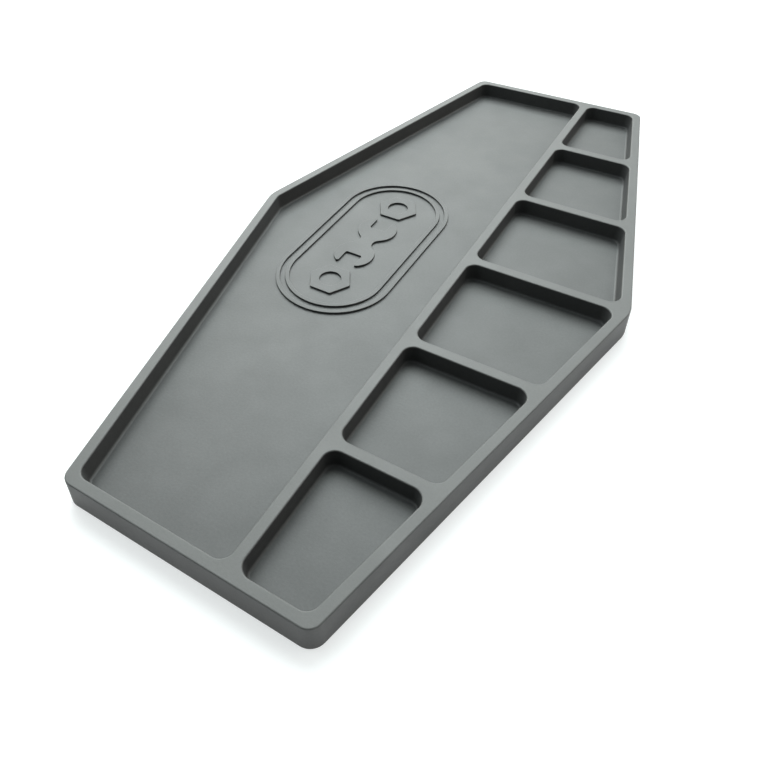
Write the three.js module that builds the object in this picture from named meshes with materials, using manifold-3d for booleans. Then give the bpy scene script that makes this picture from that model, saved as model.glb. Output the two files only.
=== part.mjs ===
// Soft moulded parts tray: a six-sided dish with one wide compartment, and a column of six
// small pockets along its right side. Millimetres, +Z up. The origin is on the surface that
// the tray rests on, under the middle of its length and width. +Y runs towards the head end.
//
// The real tray is one moulding. Each region of it is a mesh of its own here: the base plate,
// the six runs of the outer wall, the long divider, the five cross dividers and the raised
// emblem. Nothing moves.

import * as THREE from 'three';
import { mergeVertices } from 'three/addons/utils/BufferGeometryUtils.js';
import Module from 'manifold-3d';

const wasm = await Module();
wasm.setup();

// Driving dimensions of the tray.
const length = 300;
const endWidth = 84.6;
const shoulderWidth = 153;
const height = 10;
const floorThickness = 3.8;
const outerDraft = 0.9; // how much further out the outer wall stands at its foot
const innerDraft = 0.4; // the same for the walls of each compartment
const rimWidth = 3.65;
const dividerX = 15.2;
const longDividerWidth = 3.65;
const crossDividerWidth = 4;
const crossDividerY = [99.2, 50.4, 0, -50.4, -99.2]; // the middle of each, from the head

// Radii of the upright corners, seen from above, at the rim.
const endCornerRadius = 4.2;
const shoulderCornerRadius = 14;
const pocketCornerRadius = 4;
const cornerSteps = 6;

// The emblem on the floor of the wide compartment.
const emblemX = -27;
const emblemY = -3;
const emblemLength = 93;
const emblemWidth = 46;
const borderWidth = 1.6;
const borderGap = 2;
const emblemHeight = 0.8;
const nutAcrossFlats = 15;
const nutHole = 4.2;
const nutOffset = 27.5; // from the emblem's middle to each nut's
const spannerLength = 35;
const spannerShank = 6;
const spannerHead = 8; // radius of each jaw
const spannerJaw = 7; // width of each mouth

// A cut face keeps this distance from the neighbour that it faces.
const gap = 0.3;

const rubber = new THREE.MeshStandardMaterial({
  color: 0x767b7a,
  roughness: 0.62,
  metalness: 0,
});

const polar = (radius, angle) =>
  new THREE.Vector2(radius * Math.cos(angle), radius * Math.sin(angle));

// The tray's six-sided outline, anticlockwise, moved inwards by inset on every side.
function outline(inset) {
  const end = endWidth / 2;
  const shoulder = shoulderWidth / 2;
  const half = length / 2;
  const corners = [
    [end, -half],
    [shoulder, 0],
    [end, half],
    [-end, half],
    [-shoulder, 0],
    [-end, -half],
  ].map(([x, y]) => new THREE.Vector2(x, y));
  return offset(corners, inset);
}

// Moves each side of an anticlockwise polygon inwards by inset.
function offset(points, inset) {
  return points.map((point, i) => {
    const before = points.at(i - 1);
    const after = points[(i + 1) % points.length];
    const a = point.clone().sub(before).normalize();
    const b = after.clone().sub(point).normalize();
    const inwards = new THREE.Vector2(-a.y - b.y, a.x + b.x);
    return point.clone().addScaledVector(inwards, inset / (1 + a.dot(b)));
  });
}

// The part of a polygon where point.axis * sign is at least limit * sign.
function clip(points, axis, sign, limit) {
  const kept = [];
  points.forEach((point, i) => {
    const next = points[(i + 1) % points.length];
    const here = (point[axis] - limit) * sign;
    const there = (next[axis] - limit) * sign;
    if (here >= 0) kept.push(point);
    if (here * there < 0) kept.push(point.clone().lerp(next, here / (here - there)));
  });
  return kept;
}

// Rounds every corner of an anticlockwise polygon with arcs of the same number of points.
function rounded(points, radiusAt) {
  return points.flatMap((point, i) => {
    const radius = radiusAt(point);
    const toBefore = points.at(i - 1).clone().sub(point).normalize();
    const toAfter = points[(i + 1) % points.length].clone().sub(point).normalize();
    const half = Math.acos(toBefore.dot(toAfter)) / 2;
    const middle = toBefore.clone().add(toAfter).normalize();
    const centre = point.clone().addScaledVector(middle, radius / Math.sin(half));
    const start = Math.atan2(-toBefore.x, toBefore.y) + Math.PI;
    const turn = Math.PI - 2 * half;
    return Array.from({ length: cornerSteps + 1 }, (_, k) =>
      centre.clone().add(polar(radius, start + (turn * k) / cornerSteps)),
    );
  });
}

// A closed solid between two outlines of equally many points, the lower at z0, the upper at z1.
function loft(lower, upper, z0, z1) {
  const count = lower.length;
  const positions = [
    ...lower.flatMap((p) => [p.x, p.y, z0]),
    ...upper.flatMap((p) => [p.x, p.y, z1]),
  ];
  const index = [];
  for (let i = 0; i < count; i++) {
    const j = (i + 1) % count;
    index.push(i, j, count + j, i, count + j, count + i);
  }
  for (const [a, b, c] of THREE.ShapeUtils.triangulateShape(lower, [])) index.push(a, c, b);
  for (const [a, b, c] of THREE.ShapeUtils.triangulateShape(upper, [])) {
    index.push(count + a, count + b, count + c);
  }
  const geometry = new THREE.BufferGeometry();
  geometry.setAttribute('position', new THREE.Float32BufferAttribute(positions, 3));
  geometry.setIndex(index);
  return geometry;
}

// An upright prism over a THREE.Shape.
function prism(shape, z0, depth) {
  const geometry = new THREE.ExtrudeGeometry(shape, {
    depth,
    bevelEnabled: false,
    curveSegments: 12,
  });
  return geometry.translate(0, 0, z0);
}

function box(x0, x1, y0, y1, z0, z1) {
  const geometry = new THREE.BoxGeometry(x1 - x0, y1 - y0, z1 - z0);
  return geometry.translate((x0 + x1) / 2, (y0 + y1) / 2, (z0 + z1) / 2);
}

// A manifold solid of a closed three.js geometry, and back.
function solid(geometry) {
  const bare = geometry.clone();
  bare.deleteAttribute('normal');
  bare.deleteAttribute('uv');
  const merged = mergeVertices(bare);
  return new wasm.Manifold(
    new wasm.Mesh({
      numProp: 3,
      vertProperties: new Float32Array(merged.attributes.position.array),
      triVerts: new Uint32Array(merged.index.array),
    }),
  );
}

function geometryOf(manifold) {
  const { vertProperties, triVerts } = manifold.getMesh();
  const geometry = new THREE.BufferGeometry();
  geometry.setAttribute('position', new THREE.BufferAttribute(vertProperties, 3));
  geometry.setIndex(new THREE.BufferAttribute(triVerts, 1));
  geometry.computeVertexNormals();
  return geometry;
}

const group = new THREE.Group();

function addPart(name, geometry) {
  const mesh = new THREE.Mesh(geometry, rubber);
  mesh.name = name;
  group.add(mesh);
}

// The outer wall leans out towards its foot: its inset at a height above the ground.
const wallInset = (z) => (outerDraft * z) / height;
const outerRadius = (z) => (point) =>
  (Math.abs(point.y) < 1 ? shoulderCornerRadius : endCornerRadius) +
  outerDraft - wallInset(z);
const outerOutline = (z) => rounded(outline(wallInset(z)), outerRadius(z));

// The rim's inner edge, and each compartment's edges inside it, from the left and the foot.
const rimInset = outerDraft + rimWidth;
const longDividerLeft = dividerX - longDividerWidth / 2;
const longDividerRight = dividerX + longDividerWidth / 2;

function pocketEdges() {
  const half = crossDividerWidth / 2;
  const heads = [length / 2, ...crossDividerY.map((y) => y - half)];
  const feet = [...crossDividerY.map((y) => y + half), -length / 2];
  return heads.map((head, i) => [head, feet[i]]);
}

// The hollow of one compartment: its edge at the rim narrows by innerDraft down to the floor.
function hollow(edge) {
  const above = 1; // the cutting solid stands this far out of the rim
  const draftAbove = (innerDraft * above) / (height - floorThickness);
  const cornerRadius = (change) => () => pocketCornerRadius + change;
  const lower = rounded(offset(edge, innerDraft), cornerRadius(-innerDraft));
  const upper = rounded(offset(edge, -draftAbove), cornerRadius(draftAbove));
  return solid(loft(lower, upper, floorThickness, height + above));
}

const rimEdge = outline(rimInset);
const wideEdge = clip(rimEdge, 'x', -1, longDividerLeft);
const pocketColumn = clip(rimEdge, 'x', 1, longDividerRight);
const pockets = pocketEdges().map(([head, foot]) =>
  clip(clip(pocketColumn, 'y', -1, head), 'y', 1, foot),
);

// The base plate: the whole outline, as thick as the floor.
addPart('base_plate', loft(outerOutline(0), outerOutline(floorThickness), 0, floorThickness));

// Everything above the floor, before it is shared out between its regions.
const walls = [wideEdge, ...pockets].reduce(
  (block, edge) => block.subtract(hollow(edge)),
  solid(loft(outerOutline(floorThickness), outerOutline(height), floorThickness, height)),
);

// The outer wall's share reaches past each compartment's corner radii, so that a divider is a
// straight bar between two roots that flare into its neighbours.
const rootLength = pocketCornerRadius + 0.5;
const wallReach = rimInset + rootLength;
const wallCore = outline(wallReach);
const coreSolid = solid(loft(wallCore, wallCore, floorThickness, height));
const wallRing = walls.subtract(coreSolid);

// The ring is cut into six runs at the corners of the outline.
function wallRun(name, from, to) {
  const outerEnd = outline(-1);
  const innerEnd = outline(wallReach + 1);
  const nearGap = (a, b) => a.clone().addScaledVector(b.clone().sub(a).normalize(), gap / 2);
  const run = [
    nearGap(outerEnd[from], outerEnd[to]),
    nearGap(outerEnd[to], outerEnd[from]),
    nearGap(innerEnd[to], innerEnd[from]),
    nearGap(innerEnd[from], innerEnd[to]),
  ];
  addPart(name, geometryOf(wallRing.intersect(solid(loft(run, run, 0, height)))));
}

wallRun('outer_wall_right_foot', 0, 1);
wallRun('outer_wall_right_head', 1, 2);
wallRun('outer_wall_head', 2, 3);
wallRun('outer_wall_left_head', 3, 4);
wallRun('outer_wall_left_foot', 4, 5);
wallRun('outer_wall_foot', 5, 0);

// The dividers are what is left inside the ring, a small gap away from it.
const innerCore = outline(wallReach + gap);
const dividers = walls.intersect(solid(loft(innerCore, innerCore, floorThickness, height)));
const rootX = longDividerRight + rootLength;
const halfLength = length / 2;
addPart(
  'long_divider',
  geometryOf(
    dividers.intersect(solid(box(0, rootX, -halfLength, halfLength, floorThickness, height))),
  ),
);
crossDividerY.forEach((y, i) => {
  const [foot, head] = [y - crossDividerWidth, y + crossDividerWidth];
  const cell = box(rootX + gap, shoulderWidth, foot, head, floorThickness, height);
  addPart(`cross_divider_${i + 1}`, geometryOf(dividers.intersect(solid(cell))));
});

// The emblem: two raised slot-shaped borders around a spanner between two nuts.
function slotPath(path, slotLength, slotWidth) {
  const radius = slotWidth / 2;
  const straight = slotLength / 2 - radius;
  path.absarc(0, straight, radius, 0, Math.PI, false);
  path.absarc(0, -straight, radius, Math.PI, 2 * Math.PI, false);
  path.closePath();
  return path;
}

function border(inset) {
  const shape = slotPath(new THREE.Shape(), emblemLength - 2 * inset, emblemWidth - 2 * inset);
  const inner = inset + borderWidth;
  const hole = slotPath(new THREE.Path(), emblemLength - 2 * inner, emblemWidth - 2 * inner);
  shape.holes.push(hole);
  return shape;
}

function hexNut() {
  const corner = nutAcrossFlats / Math.sqrt(3);
  const corners = Array.from({ length: 6 }, (_, i) => polar(corner, (i * Math.PI) / 3));
  const shape = new THREE.Shape(corners);
  shape.holes.push(new THREE.Path().absarc(0, 0, nutHole, 0, 2 * Math.PI, true));
  return shape;
}

function spanner() {
  const centre = spannerLength / 2 - spannerHead;
  const disc = (y) => new THREE.Shape().absarc(0, y, spannerHead, 0, 2 * Math.PI, false);
  const bar = (y0, y1, width) =>
    new THREE.Shape([
      new THREE.Vector2(-width / 2, y0),
      new THREE.Vector2(width / 2, y0),
      new THREE.Vector2(width / 2, y1),
      new THREE.Vector2(-width / 2, y1),
    ]);
  const raise = (shape) => solid(prism(shape, 0, emblemHeight));
  const cut = (y0, y1) => solid(prism(bar(y0, y1, spannerJaw), -1, emblemHeight + 2));
  const whole = raise(bar(-centre, centre, spannerShank))
    .add(raise(disc(centre)))
    .add(raise(disc(-centre)));
  return geometryOf(
    whole
      .subtract(cut(centre, centre + 2 * spannerHead))
      .subtract(cut(-centre - 2 * spannerHead, -centre)),
  );
}

function addEmblemPart(name, geometry, y = 0) {
  addPart(name, geometry);
  group.getObjectByName(name).position.set(emblemX, emblemY + y, floorThickness);
}

addEmblemPart('emblem_outer_border', prism(border(0), 0, emblemHeight));
addEmblemPart('emblem_inner_border', prism(border(borderWidth + borderGap), 0, emblemHeight));
addEmblemPart('emblem_spanner', spanner());
addEmblemPart('emblem_head_nut', prism(hexNut(), 0, emblemHeight), nutOffset);
addEmblemPart('emblem_foot_nut', prism(hexNut(), 0, emblemHeight), -nutOffset);

export default group;
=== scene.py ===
"""The looks of the parts sorting tray: a six-sided dish moulded in soft grey rubber.

The tray is one moulding, so its pieces meet without a seam. One skin is made for everything that
stands on the base plate, with its round edges and its fillets. Planes then cut it into the runs
of the outer wall and the dividers. Metres, +Z up, +Y towards the head end.
"""

from math import atan2, cos, pi, radians, sin, tan

import bmesh
import bpy
from mathutils import Matrix, Vector


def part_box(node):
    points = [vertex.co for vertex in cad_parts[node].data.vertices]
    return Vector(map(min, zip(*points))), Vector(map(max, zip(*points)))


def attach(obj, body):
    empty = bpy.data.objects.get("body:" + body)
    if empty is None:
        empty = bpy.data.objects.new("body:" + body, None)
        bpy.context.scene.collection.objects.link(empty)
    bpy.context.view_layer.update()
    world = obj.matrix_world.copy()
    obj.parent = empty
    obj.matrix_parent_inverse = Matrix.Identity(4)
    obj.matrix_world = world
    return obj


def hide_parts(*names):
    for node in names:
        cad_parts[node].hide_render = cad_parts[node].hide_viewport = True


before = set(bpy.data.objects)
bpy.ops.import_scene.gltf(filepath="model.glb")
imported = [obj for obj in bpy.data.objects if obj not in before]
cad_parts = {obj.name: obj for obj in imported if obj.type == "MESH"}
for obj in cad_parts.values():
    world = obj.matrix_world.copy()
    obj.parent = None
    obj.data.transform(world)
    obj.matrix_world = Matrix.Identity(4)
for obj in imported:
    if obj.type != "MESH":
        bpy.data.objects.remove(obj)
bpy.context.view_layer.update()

MM = 0.001

# Points nearer than this are at the same place.
TOUCHING = 1e-7

# The design, as in the CAD source. Both widths are between corners that aren't rounded yet. What
# a node's box gives is read from the frame below.
END_WIDTH = 84.6 * MM
SHOULDER_WIDTH = 153 * MM
OUTER_DRAFT = 0.9 * MM
INNER_DRAFT = 0.4 * MM
RIM_WIDTH = 3.65 * MM
DIVIDER_X = 15.2 * MM
LONG_DIVIDER_WIDTH = 3.65 * MM
CROSS_DIVIDER_WIDTH = 4 * MM
END_CORNER_RADIUS = 4.2 * MM
SHOULDER_CORNER_RADIUS = 14 * MM
POCKET_CORNER_RADIUS = 4 * MM

# This much of each end of a divider, with its round corners, belongs to what it meets.
ROOT_LENGTH = 4.5 * MM

# The runs of the outer wall, in the order of the outline's sides.
SIDES = ("right_foot", "right_head", "head", "left_head", "left_foot", "foot")
CROSS_DIVIDERS = range(1, 6)

# The finer shape that only the looks need.
RIM_ROUNDING = 0.5 * MM
FLOOR_FILLET = 0.9 * MM
FOOT_ROUNDING = 0.25 * MM
CORNER_STEPS = 12
ROUNDING_STEPS = 6
FILLET_STEPS = 8

# The emblem. NUT_HOLE, NUT_CORNER and SPANNER_HEAD, _TIP and _NECK are radii.
BORDER_WIDTH = 1.6 * MM
RELIEF_ROUNDING = 0.18 * MM
RELIEF_FILLET = 0.12 * MM
RELIEF_STEPS = 4
NUT_ACROSS_FLATS = 15 * MM
NUT_HOLE = 4.2 * MM
NUT_CORNER = 0.8 * MM
SPANNER_LENGTH = 35 * MM
SPANNER_SHANK = 6 * MM
SPANNER_HEAD = 8 * MM
SPANNER_JAW = 7 * MM
SPANNER_TIP = 0.7 * MM
SPANNER_NECK = 3 * MM
SPANNER_HEAD_STEPS = 16
SPANNER_CORNER_STEPS = 4
ARC_STEPS = 48

# Wear and painted light, from 0 as moulded to 1 at its palest.
# Painted light: the rim's flat top is painted paler, as if more light fell on it.
RIM_PAINTED_LIGHT = 0.2
# Wear and painted highlight: the rim's round edges are painted paler halfway round.
EDGE_WEAR_AND_HIGHLIGHT = 0.1
# Wear and painted highlight: the emblem's round top edges are painted paler.
RELIEF_WEAR_AND_HIGHLIGHT = 0.5

# The rubber's colours. The speckle's multiply the others.
DARK_RUBBER = (0.045, 0.0455, 0.045)
PALE_RUBBER = (0.055, 0.0555, 0.055)
# The pale colour below is worn rubber and also painted highlight and painted light.
WORN_AND_LIT_RUBBER = (0.2, 0.198, 0.19)
DARK_SPECKLE = (0.92, 0.92, 0.92)
PALE_SPECKLE = (1.08, 1.08, 1.08)

# Its noises: the scale per metre, the octaves of detail and the roughness of the detail. Their
# values are spread over the range that nearly all of a noise lies in.
CLOUD = (90, 3, 0.5)
SPECKLE = (1300, 2, 0.5)
SMUDGE = (60, 4, 0.5)
GRAIN = (1100, 4, 0.65)
NOISE_RANGE = (0.3, 0.7)

# Its gloss and its grain.
ROUGHNESS = (0.53, 0.57)
GRAIN_STRENGTH = 0.5
GRAIN_HEIGHT = 0.07 * MM

# The stage. The floor lies a hair below the tray.
FLOOR_REACH = 8
FLOOR_DROP = 0.05 * MM
FLOOR_COLOUR = (0.47, 0.47, 0.47)
FLOOR_ROUGHNESS = 0.9
GLOW_COLOUR = (0.98, 1, 1)
FLOOR_GLOW = 0.6
COOL = (0.90, 1.0, 1.0)
WARM = (1.0, 0.94, 0.88)
ROOM_LIGHT = 0.09
ROOM_TONE = 0.7
LIGHT_DISTANCE = 1.2

# Each softbox: its azimuth from +Y towards -X and its elevation in degrees, its diameter in
# metres, its power in watts and its colour.
SOFTBOXES = (
    (30, 50, 1, 20, COOL),
    (45, 30, 1.6, 10.5, WARM),
    (-30, 55, 1.6, 4.8, COOL),
    (90, 55, 1.6, 5, COOL),
    (90, 30, 1.6, 7, COOL),
    (-45, 30, 1.6, 6, WARM),
    (0, 30, 1.6, 2, COOL),
)

# The camera. Its turn is in degrees, its lens in millimetres.
CAMERA_PLACE = (0.0780, -0.19247, 0.15778)
CAMERA_TURN = (41.95, 1.149, 31.589)
CAMERA_LENS = 30.32
CAMERA_SHIFT = (0.0603, 0.0085)
CAMERA_NEAR = 0.01

plate_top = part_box("base_plate")[1]
HALF_LENGTH = plate_top.y
FLOOR = plate_top.z
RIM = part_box("outer_wall_head")[1].z
ROOT_X = DIVIDER_X + LONG_DIVIDER_WIDTH / 2 + ROOT_LENGTH


# Plane geometry. An outline is a list of (point, outward normal) pairs.


def turned(vector, angle):
    return Vector((
        vector.x * cos(angle) - vector.y * sin(angle),
        vector.x * sin(angle) + vector.y * cos(angle),
    ))


def neighbours(points):
    """Each point of a closed polygon, between the one before it and the one after it."""
    return zip(points[-1:] + points[:-1], points, points[1:] + points[:1])


def offset(polygon, inset):
    """Moves every side of an anticlockwise polygon inwards."""
    moved = []
    for before, point, after in neighbours(polygon):
        a = (point - before).normalized()
        b = (after - point).normalized()
        inwards = Vector((-a.y - b.y, a.x + b.x))
        moved.append(point + inwards * (inset / (1 + a.dot(b))))
    return moved


def clip(polygon, axis, sign, limit):
    """The part of a polygon where point[axis] * sign is at least limit * sign."""
    kept = []
    for point, after in zip(polygon, polygon[1:] + polygon[:1]):
        here = (point[axis] - limit) * sign
        there = (after[axis] - limit) * sign
        if here >= 0:
            kept.append(point)
        if here * there < 0:
            kept.append(point.lerp(after, here / (here - there)))
    return kept


def round_corner(before, corner, after, radius, steps):
    """An arc in place of a corner. Its normals point to the right of the way along it."""
    a = (corner - before).normalized()
    b = (after - corner).normalized()
    turn = atan2(a.x * b.y - a.y * b.x, a.dot(b))
    side = 1 if turn > 0 else -1
    start = corner - a * radius * tan(abs(turn) / 2)
    right = Vector((a.y, -a.x))
    centre = start - right * radius * side
    arc = []
    for k in range(steps + 1):
        normal = turned(right, turn * k / steps)
        arc.append((centre + normal * radius * side, normal))
    return arc


def rounded(polygon, radius_at, steps=CORNER_STEPS):
    """The outline of an anticlockwise polygon with round corners, its normals outwards."""
    outline = []
    for before, corner, after in neighbours(polygon):
        outline += round_corner(before, corner, after, radius_at(corner), steps)
    return outline


# Meshes. Each vertex carries its shading normal in "shade" and, in "edge", its wear and painted
# light: painted highlight on round edges and painted light on the rim top.


def new_mesh():
    mesh = bmesh.new()
    mesh.verts.layers.float_vector.new("shade")
    mesh.verts.layers.float.new("edge")
    return mesh


def skin(mesh, outline, section, side):
    """Sweeps a section of (point, normal, wear and painted light) rows round an outline.

    The x of a section runs outwards from the outline where side is 1, and inwards where it is -1.
    """
    shade = mesh.verts.layers.float_vector["shade"]
    edge = mesh.verts.layers.float["edge"]
    rings = []
    for point, normal, wear_and_light in section:
        ring = []
        for place, outwards in outline:
            moved = place + outwards * side * point.x
            vert = mesh.verts.new((moved.x, moved.y, point.y))
            level = outwards * side * normal.x
            vert[shade] = (level.x, level.y, normal.y)
            vert[edge] = wear_and_light
            ring.append(vert)
        rings.append(ring)
    for upper, lower in zip(rings, rings[1:]):
        for i in range(len(upper)):
            j = i - 1
            face = mesh.faces.new((upper[j], lower[j], lower[i], upper[i]))
            face.smooth = True


def fill_level(mesh, z, smooth):
    """Closes the open loops at a height with one flat surface. A loop in a loop is a hole."""
    loops = [
        e for e in mesh.edges
        if e.is_boundary and all(abs(v.co.z - z) < TOUCHING for v in e.verts)
    ]
    made = bmesh.ops.triangle_fill(mesh, use_beauty=True, edges=loops, normal=(0, 0, 1))
    for item in made["geom"]:
        if isinstance(item, bmesh.types.BMFace):
            item.smooth = smooth


def cut(mesh, point, normal):
    """Removes what lies on the normal's side of an upright plane, and closes the cut."""
    everything = mesh.verts[:] + mesh.edges[:] + mesh.faces[:]
    bmesh.ops.bisect_plane(
        mesh, geom=everything, dist=TOUCHING,
        plane_co=(point.x, point.y, 0), plane_no=(normal.x, normal.y, 0), clear_outer=True,
    )
    open_edges = [e for e in mesh.edges if e.is_boundary]
    made = bmesh.ops.holes_fill(mesh, edges=open_edges, sides=0)
    for face in made["faces"]:
        face.smooth = False


def add_piece(mesh, node, material):
    """Turns a closed mesh into the piece that stands for a CAD node."""
    bmesh.ops.recalc_face_normals(mesh, faces=mesh.faces[:])
    data = bpy.data.meshes.new(node)
    mesh.to_mesh(data)
    mesh.free()
    shade = [Vector(item.vector).normalized() for item in data.attributes["shade"].data]
    normals = [None] * len(data.loops)
    for polygon in data.polygons:
        for i in polygon.loop_indices:
            smooth = shade[data.loops[i].vertex_index]
            normals[i] = smooth if polygon.use_smooth else polygon.normal
    data.normals_split_custom_set(normals)
    data.attributes.remove(data.attributes["shade"])
    data.materials.append(material)
    piece = bpy.data.objects.new(node + "_moulded", data)
    bpy.context.scene.collection.objects.link(piece)
    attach(piece, "root")
    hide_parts(node)


# Sections, from the top down. A point is (distance from the outline, height). SEAM is where the
# skins of the outer wall and the base plate meet.
SEAM = Vector((OUTER_DRAFT * (RIM - FLOOR) / RIM, FLOOR))


def section_corner(before, corner, after, radius, steps, top_painted_light=0, edge_wear_and_highlight=0):
    """One round corner of a section, its normals to the left of the way along it.

    Of before and after, only the directions from the corner matter.
    """
    arc = round_corner(Vector(before), Vector(corner), Vector(after), radius, steps)
    corner_points = []
    for k, (point, normal) in enumerate(arc):
        way = k / steps
        # The paint fades from the top's painted light to nothing, while the edge's wear and
        # painted highlight peak halfway round.
        wear_and_light = top_painted_light * (1 - way) + edge_wear_and_highlight * sin(pi * way)
        corner_points.append((point, -normal, wear_and_light))
    return corner_points


def rim_edge(foot):
    """The round edge between the rim's flat top and a wall that goes down to a foot. The flat top
    is painted paler as painted light, fading out over the edge.
    """
    return section_corner(
        (-1, RIM), (0, RIM), foot, RIM_ROUNDING, ROUNDING_STEPS, RIM_PAINTED_LIGHT, EDGE_WEAR_AND_HIGHLIGHT,
    )


def outer_wall_section():
    top = rim_edge(SEAM)
    return top + [(SEAM, top[-1][1], 0)]


def base_plate_section():
    foot = (OUTER_DRAFT, 0)
    low = section_corner(SEAM, foot, (-1, 0), FOOT_ROUNDING, ROUNDING_STEPS)
    return [(SEAM, low[0][1], 0)] + low


def compartment_section():
    foot = (INNER_DRAFT, FLOOR)
    fillet = section_corner((0, RIM), foot, (1, FLOOR), FLOOR_FILLET, FILLET_STEPS)
    return rim_edge(foot) + fillet


# The tray's outlines.


def tray_polygon(inset):
    """The underside's six corners, moved inwards, anticlockwise from the foot end's right."""
    end, shoulder = END_WIDTH / 2, SHOULDER_WIDTH / 2
    corners = [
        (end, -HALF_LENGTH), (shoulder, 0), (end, HALF_LENGTH),
        (-end, HALF_LENGTH), (-shoulder, 0), (-end, -HALF_LENGTH),
    ]
    return offset([Vector(corner) for corner in corners], inset)


def outer_radius(corner):
    return SHOULDER_CORNER_RADIUS if abs(corner.y) < TOUCHING else END_CORNER_RADIUS


def compartments():
    """The edge of each compartment at the rim: the wide one, then the pockets from the head."""
    half = LONG_DIVIDER_WIDTH / 2
    inside = tray_polygon(OUTER_DRAFT + RIM_WIDTH)
    column = clip(inside, 0, 1, DIVIDER_X + half)
    bars = [divider_y(number) for number in CROSS_DIVIDERS]
    heads = [HALF_LENGTH] + [y - CROSS_DIVIDER_WIDTH / 2 for y in bars]
    feet = [y + CROSS_DIVIDER_WIDTH / 2 for y in bars] + [-HALF_LENGTH]
    pockets = [clip(clip(column, 1, -1, head), 1, 1, foot) for head, foot in zip(heads, feet)]
    return [clip(inside, 0, -1, DIVIDER_X - half)] + pockets


def divider_y(number):
    low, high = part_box(f"cross_divider_{number}")
    return (low.y + high.y) / 2


rim_outline = rounded(tray_polygon(OUTER_DRAFT), outer_radius)


def walls_and_dividers():
    """Everything that stands on the base plate, as one closed skin."""
    mesh = new_mesh()
    skin(mesh, rim_outline, outer_wall_section(), 1)
    for edge in compartments():
        hole = rounded(edge, lambda corner: POCKET_CORNER_RADIUS)
        skin(mesh, hole, compartment_section(), -1)
    fill_level(mesh, RIM, smooth=True)
    fill_level(mesh, FLOOR, smooth=False)
    return mesh


# Material.


def rubber():
    """Satin grey moulded rubber: fine grain, faint mottling, uneven gloss, and paler edges and
    rim top, which are partly wear and partly painted highlight and painted light.
    """
    material = bpy.data.materials.new("grey_rubber")
    material.use_nodes = True
    nodes, links = material.node_tree.nodes, material.node_tree.links
    shader = nodes["Principled BSDF"]
    place = nodes.new("ShaderNodeTexCoord").outputs["Object"]

    def noise(scale, detail, roughness):
        node = nodes.new("ShaderNodeTexNoise")
        node.inputs["Scale"].default_value = scale
        node.inputs["Detail"].default_value = detail
        node.inputs["Roughness"].default_value = roughness
        links.new(place, node.inputs["Vector"])
        return node.outputs["Fac"]

    def spread(value, low, high):
        node = nodes.new("ShaderNodeMapRange")
        node.inputs["From Min"].default_value = NOISE_RANGE[0]
        node.inputs["From Max"].default_value = NOISE_RANGE[1]
        node.inputs["To Min"].default_value = low
        node.inputs["To Max"].default_value = high
        links.new(value, node.inputs["Value"])
        return node.outputs["Result"]

    def mix(factor, a, b):
        node = nodes.new("ShaderNodeMix")
        node.data_type = "RGBA"
        node.inputs["A"].default_value = (*a, 1)
        node.inputs["B"].default_value = (*b, 1)
        links.new(factor, node.inputs["Factor"])
        return node.outputs["Result"]

    cloud = mix(spread(noise(*CLOUD), 0, 1), DARK_RUBBER, PALE_RUBBER)
    speckle = mix(spread(noise(*SPECKLE), 0, 1), DARK_SPECKLE, PALE_SPECKLE)
    mottle = nodes.new("ShaderNodeVectorMath")
    mottle.operation = "MULTIPLY"
    links.new(cloud, mottle.inputs[0])
    links.new(speckle, mottle.inputs[1])
    # The "edge" attribute blends in the pale colour: wear and painted highlight on round edges,
    # painted light on the rim top.
    edge = nodes.new("ShaderNodeAttribute")
    edge.attribute_name = "edge"
    worn_and_lit = mix(edge.outputs["Fac"], DARK_RUBBER, WORN_AND_LIT_RUBBER)
    links.new(mottle.outputs["Vector"], worn_and_lit.node.inputs["A"])
    links.new(worn_and_lit, shader.inputs["Base Color"])

    links.new(spread(noise(*SMUDGE), *ROUGHNESS), shader.inputs["Roughness"])

    grain = nodes.new("ShaderNodeBump")
    grain.inputs["Strength"].default_value = GRAIN_STRENGTH
    grain.inputs["Distance"].default_value = GRAIN_HEIGHT
    links.new(noise(*GRAIN), grain.inputs["Height"])
    links.new(grain.outputs["Normal"], shader.inputs["Normal"])
    return material


tray_rubber = rubber()

# The base plate.
plate = new_mesh()
skin(plate, rim_outline, base_plate_section(), 1)
fill_level(plate, FLOOR, smooth=False)
fill_level(plate, 0, smooth=False)
add_piece(plate, "base_plate", tray_rubber)

# The walls and dividers, cut along the same planes as in the CAD model.
whole = walls_and_dividers()
core = tray_polygon(OUTER_DRAFT + RIM_WIDTH + ROOT_LENGTH)
underside = tray_polygon(0)


def next_corner(i):
    return (i + 1) % len(SIDES)


def outward_normal(i):
    """The outward normal of the tray's side from corner i to the next."""
    along = (core[next_corner(i)] - core[i]).normalized()
    return Vector((along.y, -along.x))


def mitre(i):
    """The normal of the plane that halves corner i, on the side of the next corner."""
    spoke = (underside[i] - core[i]).normalized()
    return Vector((-spoke.y, spoke.x))


def cut_off_wall(mesh, side):
    """Removes what belongs to the outer wall on one side of the tray."""
    i = SIDES.index(side)
    cut(mesh, core[i], outward_normal(i))


for i, side in enumerate(SIDES):
    run = whole.copy()
    cut(run, core[i], -mitre(i))
    cut(run, core[next_corner(i)], mitre(next_corner(i)))
    cut(run, core[i], -outward_normal(i))
    add_piece(run, "outer_wall_" + side, tray_rubber)

divider = whole.copy()
cut(divider, Vector((0, 0)), Vector((-1, 0)))
cut(divider, Vector((ROOT_X, 0)), Vector((1, 0)))
cut_off_wall(divider, "head")
cut_off_wall(divider, "foot")
add_piece(divider, "long_divider", tray_rubber)

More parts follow.
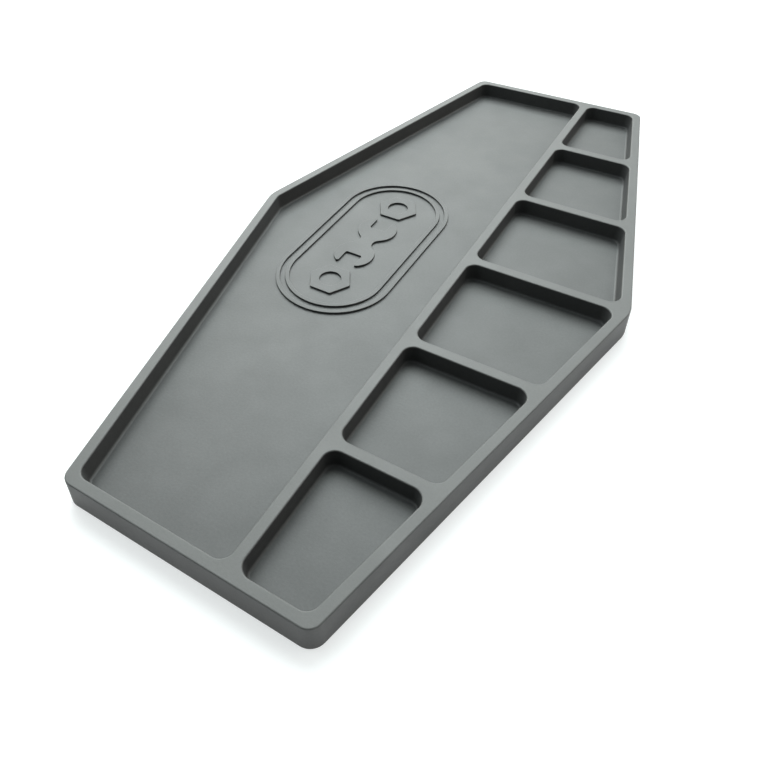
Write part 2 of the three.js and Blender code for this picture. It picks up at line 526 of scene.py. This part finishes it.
# Two of the planes around a cross divider pass through the pockets on both sides of it.
for number in CROSS_DIVIDERS:
    bar = whole.copy()
    y = divider_y(number)
    reach = Vector((0, 2 * CROSS_DIVIDER_WIDTH))
    cut(bar, Vector((ROOT_X, y)), Vector((-1, 0)))
    cut(bar, Vector((0, y)) + reach, Vector((0, 1)))
    cut(bar, Vector((0, y)) - reach, Vector((0, -1)))
    cut_off_wall(bar, "right_foot")
    cut_off_wall(bar, "right_head")
    add_piece(bar, f"cross_divider_{number}", tray_rubber)
whole.free()


# The emblem: raised marks on the floor of the wide compartment.


def relief_section(height):
    """A low wall, from the top down: its round top edge, painted paler for wear and a painted
    highlight, its side and its toe on the floor.
    """
    top, foot = (0, FLOOR + height), (0, FLOOR)
    edge = section_corner(
        (-1, FLOOR + height), top, foot, RELIEF_ROUNDING, RELIEF_STEPS, 0, RELIEF_WEAR_AND_HIGHLIGHT,
    )
    toe = section_corner(top, foot, (1, FLOOR), RELIEF_FILLET, RELIEF_STEPS)
    return edge + toe


def arc_outline(centre, radius, start, end):
    """Points and outward normals along a circle between two angles."""
    outline = []
    for k in range(ARC_STEPS + 1):
        angle = start + (end - start) * k / ARC_STEPS
        normal = Vector((cos(angle), sin(angle)))
        outline.append((centre + normal * radius, normal))
    return outline


def slot_outline(length, width):
    radius = width / 2
    reach = Vector((0, length / 2 - radius))
    head = arc_outline(reach, radius, 0, pi)
    foot = arc_outline(-reach, radius, pi, 2 * pi)
    return head + foot


def add_mark(node, outline, hole=None):
    """A raised mark in the middle of its CAD node's box, as high as the node."""
    low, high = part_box(node)
    mesh = new_mesh()
    section = relief_section(high.z - low.z)
    skin(mesh, outline, section, 1)
    if hole:
        skin(mesh, hole, section, -1)
    fill_level(mesh, high.z, smooth=True)
    fill_level(mesh, low.z, smooth=False)
    middle = (low + high) / 2
    mesh.transform(Matrix.Translation((middle.x, middle.y, 0)))
    add_piece(mesh, node, tray_rubber)


def border_mark(node):
    low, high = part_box(node)
    width, length = high.x - low.x, high.y - low.y
    inner = 2 * BORDER_WIDTH
    add_mark(node, slot_outline(length, width), slot_outline(length - inner, width - inner))


def nut_mark(node):
    corner = NUT_ACROSS_FLATS / (2 * cos(pi / 6))
    hexagon = [Vector((corner * cos(k * pi / 3), corner * sin(k * pi / 3))) for k in range(6)]
    hole = arc_outline(Vector((0, 0)), NUT_HOLE, 0, 2 * pi)[:-1]
    add_mark(node, rounded(hexagon, lambda point: NUT_CORNER), hole)


def spanner_mark(node):
    """A spanner with an open jaw at each end: a polygon whose corners are rounded."""
    centre = SPANNER_LENGTH / 2 - SPANNER_HEAD
    jaw = SPANNER_JAW / 2
    tip = (SPANNER_HEAD ** 2 - jaw ** 2) ** 0.5
    neck = (SPANNER_HEAD ** 2 - (SPANNER_SHANK / 2) ** 2) ** 0.5
    start = atan2(-neck, SPANNER_SHANK / 2)
    end = atan2(tip, jaw)
    side = []
    for k in range(SPANNER_HEAD_STEPS + 1):
        angle = start + (end - start) * k / SPANNER_HEAD_STEPS
        side.append(Vector((SPANNER_HEAD * cos(angle), centre + SPANNER_HEAD * sin(angle))))
    quarter = side + [Vector((jaw, centre))]
    head = quarter + [Vector((-p.x, p.y)) for p in reversed(quarter)]
    polygon = head + [-p for p in head]

    def radius(point):
        if abs(abs(point.x) - SPANNER_SHANK / 2) < TOUCHING and abs(point.y) < centre:
            return SPANNER_NECK
        return SPANNER_TIP

    add_mark(node, rounded(polygon, radius, SPANNER_CORNER_STEPS))


border_mark("emblem_outer_border")
border_mark("emblem_inner_border")
spanner_mark("emblem_spanner")
nut_mark("emblem_head_nut")
nut_mark("emblem_foot_nut")


# The stage: a pale floor that glows, large round softboxes behind the tray and on its left, and
# a dim room.


def floor():
    mesh = bmesh.new()
    bmesh.ops.create_grid(mesh, x_segments=1, y_segments=1, size=FLOOR_REACH)
    data = bpy.data.meshes.new("floor")
    mesh.to_mesh(data)
    mesh.free()
    plane = bpy.data.objects.new("floor", data)
    bpy.context.scene.collection.objects.link(plane)
    material = bpy.data.materials.new("pale_floor")
    material.use_nodes = True
    shader = material.node_tree.nodes["Principled BSDF"]
    shader.inputs["Base Color"].default_value = (*FLOOR_COLOUR, 1)
    shader.inputs["Roughness"].default_value = FLOOR_ROUGHNESS
    shader.inputs["Emission Color"].default_value = (*GLOW_COLOUR, 1)
    shader.inputs["Emission Strength"].default_value = FLOOR_GLOW
    data.materials.append(material)
    plane.location.z = -FLOOR_DROP


def softbox(azimuth, elevation, size, power, colour):
    """A round softbox that faces the tray."""
    light = bpy.data.lights.new("softbox", "AREA")
    light.shape = "DISK"
    light.size = size
    light.energy = power
    light.color = colour
    lamp = bpy.data.objects.new("softbox", light)
    level = turned(Vector((0, cos(radians(elevation)))), radians(azimuth))
    way = Vector((level.x, level.y, sin(radians(elevation))))
    lamp.location = way * LIGHT_DISTANCE
    lamp.rotation_euler = way.to_track_quat("Z", "Y").to_euler()
    bpy.context.scene.collection.objects.link(lamp)


def room():
    """A room that gives little light, but looks pale beyond the floor."""
    world = bpy.data.worlds.new("room")
    world.use_nodes = True
    nodes, links = world.node_tree.nodes, world.node_tree.links
    background = nodes["Background"]
    background.inputs["Color"].default_value = (*COOL, 1)
    strength = nodes.new("ShaderNodeMapRange")
    strength.inputs["To Min"].default_value = ROOM_LIGHT
    strength.inputs["To Max"].default_value = ROOM_TONE
    links.new(nodes.new("ShaderNodeLightPath").outputs["Is Camera Ray"], strength.inputs["Value"])
    links.new(strength.outputs["Result"], background.inputs["Strength"])
    bpy.context.scene.world = world


def camera():
    data = bpy.data.cameras.new("camera")
    data.lens = CAMERA_LENS
    data.shift_x, data.shift_y = CAMERA_SHIFT
    data.clip_start = CAMERA_NEAR
    eye = bpy.data.objects.new("camera", data)
    eye.location = CAMERA_PLACE
    eye.rotation_euler = [radians(angle) for angle in CAMERA_TURN]
    bpy.context.scene.collection.objects.link(eye)
    bpy.context.scene.camera = eye


floor()
for setting in SOFTBOXES:
    softbox(*setting)
room()
camera()
bpy.context.scene.view_settings.view_transform = "Standard"
